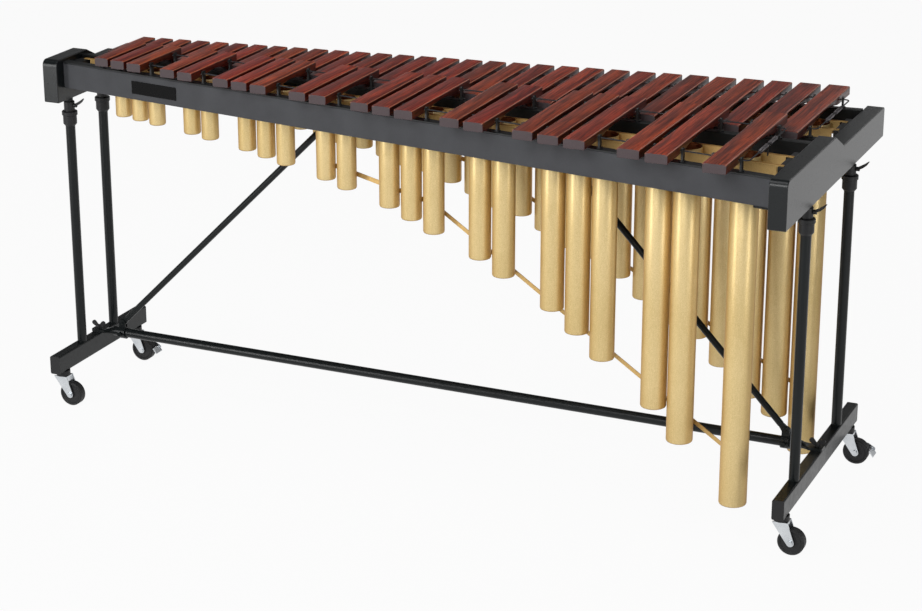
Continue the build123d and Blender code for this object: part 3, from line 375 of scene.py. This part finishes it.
def rosewood():
    """Dark streaks and fine pores along Y, a tone for each plank, dull ends, painted shade on the
    sides and a painted highlight on the top edges.
    """
    material, tree, shader, board = blank_finish("rosewood")
    plank = add(tree, "ShaderNodeAttribute", attribute_name="plank").outputs["Fac"]
    cut_from = add(tree, "ShaderNodeCombineXYZ", {
        axis: calc(tree, "MULTIPLY", plank, far) for axis, far in zip("XYZ", PLANK_SHIFT)})
    board = add(tree, "ShaderNodeVectorMath", {0: board, 1: cut_from.outputs[0]},
                operation="ADD").outputs[0]
    bend = calc(tree, "MULTIPLY", spots(tree, board, 5, 2.0, (1, 0.5, 1)), 0.03)
    shift = add(tree, "ShaderNodeCombineXYZ", {"X": bend}).outputs[0]
    board = add(tree, "ShaderNodeVectorMath", {0: board, 1: shift}, operation="ADD").outputs[0]
    bands, streaks, pores, rings = [spots(tree, board, *noise)
                                    for noise in (BANDS, STREAKS, PORES, RINGS)]
    grain = between(tree, bands, 0.34, 0.66, 0.0, 1.0)
    grain = blend_colours(tree, grain, LATE_WOOD, EARLY_WOOD)
    grain = blend_colours(tree, between(tree, streaks, 0.4, 0.56, 0.75, 0.0), grain, STREAK_BROWN)
    grain = blend_colours(tree, between(tree, pores, 0.3, 0.44, 0.6, 0.0), grain, PORE_BROWN)
    lot = calc(tree, "FRACT", calc(tree, "MULTIPLY", plank, TONE_FOLD))
    wood = add(tree, "ShaderNodeHueSaturation", {
        "Hue": between(tree, plank, 0, 1, 0.495, 0.507),
        "Value": between(tree, lot, 0, 1, 0.8, 1.3), "Color": grain}).outputs[0]
    normal = add(tree, "ShaderNodeNewGeometry").outputs["Normal"]
    facing = add(tree, "ShaderNodeSeparateXYZ", {0: normal}).outputs
    sideways, endways = [calc(tree, "ABSOLUTE", facing[axis]) for axis in "XY"]
    # Painted shade: the side faces are darkened towards a dark brown.
    flank_shade = between(tree, sideways, 0.5, 0.85, 0.0, 0.72)
    wood = blend_colours(tree, flank_shade, wood, PAINTED_FLANK_SHADE)
    across = calc(tree, "GREATER_THAN", endways, 0.7)
    wood = blend_colours(tree, across, wood, blend_colours(tree, rings, *END_GRAIN))
    form = add(tree, "ShaderNodeAttribute", attribute_name="form").outputs["Vector"]
    form = add(tree, "ShaderNodeSeparateXYZ", {0: form}).outputs
    # Painted highlight: paler wood along the top long edges, strongest on the middle of each
    # rounding.
    edges = [between(tree, place, 0.55, 0.86, 0.0, 1.0)
             for place in (calc(tree, "ABSOLUTE", form["X"]), form["Z"])]
    painted_highlight = calc(tree, "MULTIPLY", calc(tree, "MULTIPLY", *edges), 0.6)
    lacquer = between(tree, streaks, 0.3, 0.7, 0.38, 0.27)
    plug(tree, shader, {
        "Base Color": blend_colours(tree, painted_highlight, wood, PAINTED_HIGHLIGHT_WOOD),
        "Roughness": calc(tree, "MAXIMUM", lacquer, calc(tree, "MULTIPLY", across, 0.62)),
        "Normal": raised(tree, pores, 0.35, 0.00012), "Specular IOR Level": 0.2})
    return material


def bar_tree():
    """Sweeps a rounded square along a bar, then draws each copy out to its own bar's sizes."""
    tree, given, ids = new_tree("bars", {
        "Thickness": "Float", "Rounding": "Float", "Corner Steps": "Int", "Length Steps": "Int",
        "Seed": "Int", "Wood": "Material"})
    square = add(tree, "GeometryNodeCurvePrimitiveQuadrilateral", {"Width": 2.0, "Height": 2.0})
    section = add(tree, "GeometryNodeFilletCurve", {
        "Curve": square.outputs[0], "Count": given["Corner Steps"], "Radius": 0.5}, mode="POLY")
    line = add(tree, "GeometryNodeCurvePrimitiveLine", {"Start": (0, 0, 0), "End": (0, 1, 0)})
    steps = add(tree, "GeometryNodeResampleCurve", {"Curve": line.outputs[0],
                                                    "Count": given["Length Steps"]})
    swept = add(tree, "GeometryNodeCurveToMesh", {
        "Curve": steps.outputs[0], "Profile Curve": section.outputs[0], "Fill Caps": True})
    number = add(tree, "GeometryNodeInputIndex").outputs[0]
    draw = add(tree, "FunctionNodeRandomValue", {"Seed": given["Seed"], "ID": number})
    planks = store(tree, given["Geometry"], "plank", draw.outputs[1])
    bars, form = copies(tree, planks, swept.outputs[0])

    def rounded(place, half):
        """A place from -1 to 1 on the square, set out on a section of this half size."""
        corner = calc(tree, "SUBTRACT", calc(tree, "ABSOLUTE", place), 0.5)
        turn = calc(tree, "MULTIPLY", corner, 2.0)
        flat = calc(tree, "SUBTRACT", half, given["Rounding"])
        reach = calc(tree, "MULTIPLY_ADD", turn, given["Rounding"], flat)
        return calc(tree, "MULTIPLY", calc(tree, "SIGN", place), reach)

    half_thick = calc(tree, "MULTIPLY", given["Thickness"], 0.5)
    x = calc(tree, "ADD", own(tree, "middle"), rounded(form["X"], own(tree, "half_width")))
    y = calc(tree, "MULTIPLY_ADD", form["Y"], own(tree, "length"), own(tree, "near"))
    along = calc(tree, "DIVIDE", calc(tree, "SUBTRACT", form["Y"], 0.5), own(tree, "reach"))
    hollow = calc(tree, "SUBTRACT", 1.0, calc(tree, "POWER", along, 2.0))
    hollow = calc(tree, "MULTIPLY", calc(tree, "MAXIMUM", hollow, 0.0), own(tree, "arch"))
    lift = calc(tree, "MULTIPLY", hollow, calc(tree, "LESS_THAN", form["Z"], 0.0))
    level = calc(tree, "SUBTRACT", own(tree, "top"), half_thick)
    z = calc(tree, "ADD", calc(tree, "ADD", level, rounded(form["Z"], half_thick)), lift)
    close_tree(tree, placed(tree, bars, x, y, z), given["Wood"])
    return tree, ids


def cord_drill(name, lines, top):
    """Two long rods along a bank's nodal lines; each is given as X and Y at its ends."""
    corners, faces = [], []
    for line in lines:
        ends = [Vector((x, y, top - HOLE_DROP)) for x, y in line]
        turn = (ends[1] - ends[0]).to_track_quat("Z", "Y")
        angles = [a * math.tau / DRILL_SIDES for a in range(DRILL_SIDES)]
        rings = []
        for end in ends:
            rings.append([len(corners) + k for k in range(DRILL_SIDES)])
            corners += [end + turn @ Vector((HOLE_RADIUS * math.cos(a),
                                             HOLE_RADIUS * math.sin(a), 0)) for a in angles]
        first, last = rings
        faces += [first[::-1], last] + [
            [first[k], first[(k + 1) % DRILL_SIDES], last[(k + 1) % DRILL_SIDES], last[k]]
            for k in range(DRILL_SIDES)]
    mesh = bpy.data.meshes.new(name)
    mesh.from_pydata(corners, [], faces)
    drill = bpy.data.objects.new(name, mesh)
    scene.collection.objects.link(drill)
    return drill


def bank_of_bars(name, seed, lines, *nodes):
    """One bank: each bar as its CAD solid's box has it, then eased at its ends and drilled."""
    boxes = solid_boxes(*nodes)
    low = [(b[0] - boxes[0][0]) / (boxes[-1][0] - boxes[0][0]) for b in boxes]
    mesh = points_mesh(
        name, [((b[0] + b[3]) / 2, b[1], b[5]) for b in boxes], [],
        middle=[(b[0] + b[3]) / 2 for b in boxes], half_width=[(b[3] - b[0]) / 2 for b in boxes],
        near=[b[1] for b in boxes], length=[b[4] - b[1] for b in boxes],
        top=[b[5] for b in boxes],
        arch=[BAR_ARCHES[0] + (BAR_ARCHES[1] - BAR_ARCHES[0]) * s for s in low],
        reach=[ARCH_REACH[0] + (ARCH_REACH[1] - ARCH_REACH[0]) * s for s in low])
    drill = cord_drill(name + "_drill", lines, boxes[0][5])
    piece = grown(name, mesh, bars_tree, bars_ids,
                  {"Thickness": BAR_THICK, "Rounding": BAR_ROUND, "Corner Steps": CORNER_STEPS,
                   "Length Steps": BAR_STEPS, "Seed": seed, "Wood": rosewood_finish},
                  [("BEVEL", {"width": BAR_ARRIS, "segments": ARRIS_STEPS,
                              "limit_method": "ANGLE",
                              "angle_limit": math.radians(ARRIS_ANGLE)}),
                   ("BOOLEAN", {"object": drill, "operation": "DIFFERENCE", "solver": "EXACT"})])
    bpy.data.objects.remove(drill)
    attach(piece, "top_frame")
    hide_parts(*nodes)


rosewood_finish = rosewood()
bars_tree, bars_ids = bar_tree()
bank_of_bars("naturals_bars", PLANK_SEEDS["naturals"], NODAL_LINES["naturals"],
             "naturals_high", "naturals_middle", "naturals_low")
bank_of_bars("accidentals_bars", PLANK_SEEDS["accidentals"], NODAL_LINES["accidentals"],
             "accidentals_high", "accidentals_low")

# ================= posts, cords and springs =================
# Forked posts stand on the rails between the bars and carry a braided cord through each bank.
# Two springs close each cord at the low end, and a strap hangs from the accidentals' link.
SPRING_TURNS = 38.0
SPRING_LENGTH = 0.062
SPRING_RADIUS = 0.0055
SPRING_NECK = (0.005, 0.35)  # length of a spring's narrowing ends, and their share of its width
COIL_STEPS = 12              # in each turn
WIRE_RADIUS = 0.0007
WIRE_SIDES = 6
LINK_RADIUS = 0.0028
LINK_LENGTH = 0.016
LINK_SIDES = 16
LINK_STEPS = 4               # along a link
BRAID_SLANT = 40             # degrees
BRAID_SCALE = 190.0
post_steel = sprayed("post_steel", tint(26, 27, 28), tint(40, 41, 42), (0.3, 0.45),
                     900, 0.00004, mottle=60)
dress(post_steel, "accidentals_posts", "naturals_posts")


def braided():
    """Black nylon cord: two families of slanting strands that cross."""
    material, tree, shader, where = blank_finish("braided_cord")
    strands = []
    for slant in (BRAID_SLANT, -BRAID_SLANT):
        turned = add(tree, "ShaderNodeMapping", {"Vector": where,
                                                 "Rotation": (0, 0, math.radians(slant))})
        strands.append(add(tree, "ShaderNodeTexWave", {
            "Vector": turned.outputs[0], "Scale": BRAID_SCALE, "Distortion": 0.4}).outputs["Fac"])
    weave = calc(tree, "MAXIMUM", *strands)
    plug(tree, shader, {
        "Base Color": blend_colours(tree, weave, tint(12, 12, 13), tint(46, 46, 49)),
        "Normal": raised(tree, weave, 0.8, 0.0004), "Roughness": 0.7})
    return material


def spring_tree():
    """Winds one spring along Y with narrowed ends, copies it to each point and adds the links."""
    tree, given, ids = new_tree("springs", {
        "Turns": "Float", "Length": "Float", "Radius": "Float", "Wire": "Float",
        "Steel": "Material", "Black": "Material"})
    middle = calc(tree, "SUBTRACT", given["Radius"], given["Wire"])
    coil = add(tree, "GeometryNodeCurveSpiral", {
        "Resolution": COIL_STEPS, "Rotations": given["Turns"], "Start Radius": middle,
        "End Radius": middle, "Height": given["Length"]})
    place = add(tree, "GeometryNodeInputPosition").outputs[0]
    spot = add(tree, "ShaderNodeSeparateXYZ", {0: place}).outputs
    from_far = calc(tree, "SUBTRACT", given["Length"], spot["Z"])
    from_end = calc(tree, "MINIMUM", spot["Z"], from_far)
    width = between(tree, from_end, 0.0, *SPRING_NECK, 1.0)
    laid = placed(tree, coil.outputs[0], calc(tree, "MULTIPLY", spot["X"], width),
                  calc(tree, "SUBTRACT", spot["Z"], calc(tree, "MULTIPLY", given["Length"], 0.5)),
                  calc(tree, "MULTIPLY", spot["Y"], width))
    section = add(tree, "GeometryNodeCurvePrimitiveCircle", {"Resolution": WIRE_SIDES,
                                                             "Radius": given["Wire"]})
    wire = add(tree, "GeometryNodeCurveToMesh", {
        "Curve": laid, "Profile Curve": section.outputs[0], "Fill Caps": True})
    rod = add(tree, "GeometryNodeMeshCylinder", {
        "Vertices": LINK_SIDES, "Side Segments": LINK_STEPS, "Radius": LINK_RADIUS,
        "Depth": LINK_LENGTH})
    lying = add(tree, "GeometryNodeTransform", {"Geometry": rod.outputs[0],
                                                "Rotation": (math.pi / 2, 0, 0)})
    link = own(tree, "link")
    parts = add(tree, "GeometryNodeJoinGeometry")
    finishes = []
    for shape, material, wanted in ((wire, "Steel", 0.0), (lying, "Black", 1.0)):
        chosen = add(tree, "FunctionNodeCompare", {"A": link, "B": wanted, "Epsilon": 0.1},
                     data_type="FLOAT", operation="EQUAL").outputs[0]
        laid_out = add(tree, "GeometryNodeInstanceOnPoints", {
            "Points": given["Geometry"], "Selection": chosen, "Instance": shape.outputs[0]})
        tree.links.new(laid_out.outputs[0], parts.inputs[0])
        finishes.append((chosen, given[material]))
    smooth = add(tree, "GeometryNodeSetShadeSmooth", {"Geometry": parts.outputs[0]})
    done = add(tree, "GeometryNodeRealizeInstances", {"Geometry": smooth.outputs[0]})
    for chosen, material in reversed(finishes):
        done = add(tree, "GeometryNodeSetMaterial", {
            "Geometry": done.outputs[0], "Selection": chosen, "Material": material})
    add(tree, "NodeGroupOutput", {"Geometry": done.outputs[0]})
    return tree, ids


cord_finish = braided()
dress(cord_finish, "accidentals_cord", "naturals_cord")
spring_steel = sprayed("spring_steel", tint(84, 80, 82), tint(124, 120, 122), (0.3, 0.42),
                       900, 0.00002, metal=1.0, mottle=120)
link_black = sprayed("link_black", tint(16, 16, 17), tint(30, 30, 32), (0.5, 0.65),
                     1200, 0.00005, mottle=150)
springs_tree, springs_ids = spring_tree()
runs = [((b[0] + b[3]) / 2, b[1], b[4], (b[2] + b[5]) / 2) for b in solid_boxes("cord_springs")]
places = [(x, y, z) for x, near, far, z in runs
          for y in (near + SPRING_LENGTH / 2, (near + far) / 2, far - SPRING_LENGTH / 2)]
mesh = points_mesh("springs", places, [], link=[0.0, 1.0, 0.0] * len(runs))
springs = grown("springs", mesh, springs_tree, springs_ids,
                {"Turns": SPRING_TURNS, "Length": SPRING_LENGTH, "Radius": SPRING_RADIUS,
                 "Wire": WIRE_RADIUS, "Steel": spring_steel, "Black": link_black})
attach(springs, "top_frame")
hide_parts("cord_springs")
strap_finish = sprayed("strap_webbing", tint(14, 14, 15), tint(30, 30, 32), (0.65, 0.8),
                       1500, 0.0003, mottle=200)
dress(strap_finish, "spring_strap")

# ================= resonator tubes =================
# Thin aluminium tubes with closed ends hang under the bars, longer towards the low notes.
# They are satin gold: fine drawn lines run down them, and the finish is slightly speckled.
DRAWN_LINES = (1, 1, 0.05)   # the stretch of the lines that drawing leaves along Z
# The next colours are painted shade: dark brown laid on a tube's inner wall.
TUBE_INSIDE_SHADE = (tint(92, 52, 30), tint(124, 74, 42))
TUBE_SIDES = 56
TUBE_WALL = 0.0013
TUBE_ROUND = 0.005           # rounding of a closed lower end
TUBE_CORNER_TURNS = (0, 22, 45, 68, 90)      # degrees round it
TUBE_LIP = 0.0004            # softening of the mouth's outer edge
TUBE_BREAK = (0.0003, 0.0005)    # of its inner edge, across and down
WELD = 0.00002               # corners nearer than this are one
# Rings of a tube's skin, from the middle of its closed end out, up, over the mouth and down
# inside: share of the radius, step out, share of the height, step up, and 1 where it's inside.
CORNER = [(TUBE_ROUND * math.sin(math.radians(a)), TUBE_ROUND * math.cos(math.radians(a)))
          for a in TUBE_CORNER_TURNS]
TUBE_RINGS = ([(0, 0, 0, 0, 0)]
              + [(1, out - TUBE_ROUND, 0, TUBE_ROUND - up, 0) for out, up in CORNER]
              + [(1, 0, 0.5, 0, 0), (1, 0, 1, -TUBE_LIP, 0), (1, -TUBE_LIP, 1, 0, 0),
                 (1, TUBE_BREAK[0] - TUBE_WALL, 1, 0, 1), (1, -TUBE_WALL, 1, -TUBE_BREAK[1], 1),
                 (1, -TUBE_WALL, 0.5, 0, 1), (1, -TUBE_WALL, 0, TUBE_WALL, 1),
                 (0, 0, 0, TUBE_WALL, 1)])


def satin_gold(name, deep, pale):
    """Gold-coated aluminium: drawn lines, speckle and soft patches under a clear gold coat, and
    painted shade inside a tube.
    """
    material, tree, shader, where = blank_finish(name)
    drawn = spots(tree, where, 900, 2.0, DRAWN_LINES)
    grain = spots(tree, where, 420, 4.0, rough=0.8)
    dust = spots(tree, where, 900, 3.0)
    speckle = calc(tree, "MULTIPLY_ADD", dust, 0.4, calc(tree, "MULTIPLY", grain, 0.6))
    patches = spots(tree, where, 5, 3.0)
    share = calc(tree, "MULTIPLY_ADD", drawn, 0.15, calc(tree, "MULTIPLY", speckle, 0.65))
    share = calc(tree, "MULTIPLY_ADD", patches, 0.2, share)
    skin = blend_colours(tree, between(tree, share, 0.38, 0.62, 0.0, 1.0), deep, pale)
    inside = add(tree, "ShaderNodeAttribute", attribute_name="inside").outputs["Fac"]
    # Painted shade: the inner wall is coloured dark brown, mottled by the patches.
    inside_shade = blend_colours(tree, patches, *TUBE_INSIDE_SHADE)
    plug(tree, shader, {
        "Base Color": blend_colours(tree, inside, skin, inside_shade),
        "Roughness": between(tree, speckle, 0.3, 0.7, 0.36, 0.44),
        "Normal": raised(tree, speckle, 0.4, 0.00005),
        "Metallic": 0.42, "Specular IOR Level": 0.2, "Specular Tint": tint(120, 66, 26),
        "Coat Weight": 1.0, "Coat Roughness": 0.42, "Coat IOR": 1.15,
        "Coat Tint": tint(247, 226, 192)})
    return material


def tube_tree():
    """Turns one skin from its rings, then draws each copy out to its own tube's sizes."""
    tree, given, ids = new_tree("tubes", {"Rings": "Object", "Sides": "Int", "Metal": "Material"})
    rings = add(tree, "GeometryNodeObjectInfo", {"Object": given["Rings"]}).outputs["Geometry"]
    path = add(tree, "GeometryNodeMeshToCurve", {"Mesh": rings})
    around = add(tree, "GeometryNodeCurvePrimitiveCircle", {"Resolution": given["Sides"],
                                                            "Radius": 1.0})
    skin = add(tree, "GeometryNodeCurveToMesh", {"Curve": path.outputs[0],
                                                 "Profile Curve": around.outputs[0]})
    tubes, form = copies(tree, given["Geometry"], skin.outputs[0])
    radius = calc(tree, "MULTIPLY_ADD", own(tree, "radius_share"), own(tree, "radius"),
                  own(tree, "step_out"))
    x = calc(tree, "MULTIPLY_ADD", form["X"], radius, own(tree, "middle"))
    y = calc(tree, "MULTIPLY_ADD", form["Y"], radius, own(tree, "depth"))
    level = calc(tree, "MULTIPLY_ADD", own(tree, "height_share"), own(tree, "height"),
                 own(tree, "bottom"))
    z = calc(tree, "ADD", level, own(tree, "step_up"))
    closed = add(tree, "GeometryNodeMergeByDistance", {"Geometry": placed(tree, tubes, x, y, z),
                                                       "Distance": WELD})
    smooth = add(tree, "GeometryNodeSetShadeSmooth", {"Geometry": closed.outputs[0]})
    close_tree(tree, smooth.outputs[0], given["Metal"])
    return tree, ids


gold_tube = satin_gold("gold_tube", tint(212, 203, 162), tint(248, 245, 220))
tubes_tree, tubes_ids = tube_tree()
last_ring = len(TUBE_RINGS) - 1
rings = bpy.data.objects.new("rings", points_mesh(
    "rings", [(0, 0, 0.1 * i) for i in range(last_ring + 1)],
    [(i, i + 1) for i in range(last_ring)],
    **{key: [ring[k] for ring in TUBE_RINGS] for k, key in enumerate(
        ("radius_share", "step_out", "height_share", "step_up", "inside"))}))
tube_boxes = {}
for name in ("accidentals_tubes", "naturals_tubes"):
    boxes = tube_boxes[name] = solid_boxes(name)
    mesh = points_mesh(
        name, [((b[0] + b[3]) / 2, b[1], b[2]) for b in boxes], [],
        middle=[(b[0] + b[3]) / 2 for b in boxes], depth=[(b[1] + b[4]) / 2 for b in boxes],
        radius=[(b[3] - b[0]) / 2 for b in boxes], bottom=[b[2] for b in boxes],
        height=[b[5] - b[2] for b in boxes])
    piece = grown(name + "_skin", mesh, tubes_tree, tubes_ids,
                  {"Rings": rings, "Sides": TUBE_SIDES, "Metal": gold_tube})
    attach(piece, "top_frame")
    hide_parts(name)
bpy.data.objects.remove(rings)

# ================= resonator strips, ledges and ties =================
# Two gold angle strips hold each bank of tubes, riveted on, and rest on ledges inside the end
# boards. A slim gold strip ties the long tubes together on the player's side.
RIVET_HEAD = (0.0032, 0.0014)    # radius and how far it stands out
RIVET_SIDES, RIVET_RINGS = 12, 8
STRIP_THICK = 0.002
# A strip's inner face: its distance from the tubes' middles at X 0, and how that grows with X.
STRIP_HALF = (0.02904, 0.006957)
RIVET_DROP = 0.016               # below the tubes' mouths
TIE_GAP = 0.0003
# A tie's drops below the mouths at three places along X.
TIES = {"accidentals": [(-0.2767, 0.189), (0.0333, 0.253), (0.8984, 0.789)],
        "naturals": [(-0.2667, 0.144), (0.0333, 0.207), (0.9333, 0.743)]}
gold_strip = satin_gold("gold_strip", tint(200, 182, 138), tint(234, 218, 176))
dress(gold_strip, "accidentals_strips", "naturals_strips",
      "accidentals_stabiliser", "naturals_stabiliser")
ledge_paint = sprayed("ledge_paint", tint(18, 19, 20), tint(30, 31, 32), (0.45, 0.6), 500, 0.0001)
dress(ledge_paint, "resonator_ledges")


def rivet_tree():
    """Puts one domed head on each point, flattened along Y."""
    tree, given, ids = new_tree("rivets", {"Radius": "Float", "Height": "Float",
                                           "Metal": "Material"})
    ball = add(tree, "GeometryNodeMeshUVSphere", {
        "Segments": RIVET_SIDES, "Rings": RIVET_RINGS, "Radius": 1.0})
    size = add(tree, "ShaderNodeCombineXYZ", {"X": given["Radius"], "Y": given["Height"],
                                              "Z": given["Radius"]})
    head = add(tree, "GeometryNodeTransform", {"Geometry": ball.outputs[0],
                                               "Scale": size.outputs[0]})
    smooth = add(tree, "GeometryNodeSetShadeSmooth", {"Geometry": head.outputs[0]})
    heads = add(tree, "GeometryNodeInstanceOnPoints", {"Points": given["Geometry"],
                                                       "Instance": smooth.outputs[0]})
    close_tree(tree, heads.outputs[0], given["Metal"])
    return tree, ids


def drop_of(tie, x):
    """How far below the mouths a tie is at this X, or None past its ends."""
    for (x0, drop0), (x1, drop1) in zip(tie, tie[1:]):
        if x0 <= x <= x1:
            return drop0 + (drop1 - drop0) * (x - x0) / (x1 - x0)
    return None


places = []
for bank, tie in TIES.items():
    for box in tube_boxes[bank + "_tubes"]:
        x, y, mouth = (box[0] + box[3]) / 2, (box[1] + box[4]) / 2, box[5]
        half = STRIP_HALF[0] + STRIP_HALF[1] * x
        places += [(x, y + side * (half + STRIP_THICK), mouth - RIVET_DROP) for side in (-1, 1)]
        drop = drop_of(tie, x)
        if drop:
            places.append((x, y + half + TIE_GAP + STRIP_THICK, mouth - drop))
rivets_tree, rivets_ids = rivet_tree()
rivets = grown("rivets", points_mesh("rivets", places, []), rivets_tree, rivets_ids,
               {"Radius": RIVET_HEAD[0], "Height": RIVET_HEAD[1], "Metal": gold_strip})
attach(rivets, "top_frame")

# ================= small steel parts =================
# The bent wire hanger and its two screws are bright zinc. A small black block on the low end
# board carries the front rail's end from below.
bright_zinc = sprayed("bright_zinc", tint(178, 180, 184), tint(212, 214, 218), (0.22, 0.3),
                      600, 0.00003, metal=1.0, mottle=40, shiny=0.5)
dress(bright_zinc, "wire_hanger", "hanger_screws")
black_metal = sprayed("black_metal", tint(9, 13, 14), tint(16, 21, 22), (0.28, 0.38),
                      1100, 0.00005, shiny=0.26)
dress(black_metal, "rail_seat")

# ================= stand =================
# Telescopic steel legs, rectangular feet, a cross brace and two diagonals, all powder-coated
# satin black. The clamps, end caps, levers and wing bolts are plastic, a shade duller.
dress(black_metal, "inner_legs", "outer_legs", "foot_low", "foot_high", "cross_brace",
      "diagonal_low", "diagonal_high", "diagonal_brackets", "brace_collar_low",
      "brace_collar_high")
black_plastic = sprayed("black_plastic", tint(18, 18, 19), tint(28, 28, 30), (0.42, 0.56),
                        1300, 0.00008)
dress(black_plastic, "leg_clamps", "foot_caps", "brace_bolt_low", "brace_bolt_high",
      "leg_screw_low_near", "leg_screw_low_far", "leg_screw_high_near", "leg_screw_high_far")

# ================= casters =================
# Swivelling casters with pressed zinc forks and solid black rubber wheels. The two on the
# player's side have foot brakes, pressed from the same plate.
dress(black_plastic, "caster_stems")
plated = sprayed("zinc_plated", tint(188, 192, 196), tint(216, 219, 222), (0.27, 0.34),
                 500, 0.00003, metal=1.0, mottle=24, shiny=0.5)
rubber = sprayed("wheel_rubber", tint(20, 20, 21), tint(34, 34, 36), (0.5, 0.68),
                 900, 0.00012, mottle=40)
dress(plated, "brake_low_far", "brake_high_far")
for corner in ("low_near", "low_far", "high_near", "high_far"):
    dress(plated, "fork_" + corner)
    dress(rubber, "wheel_" + corner)
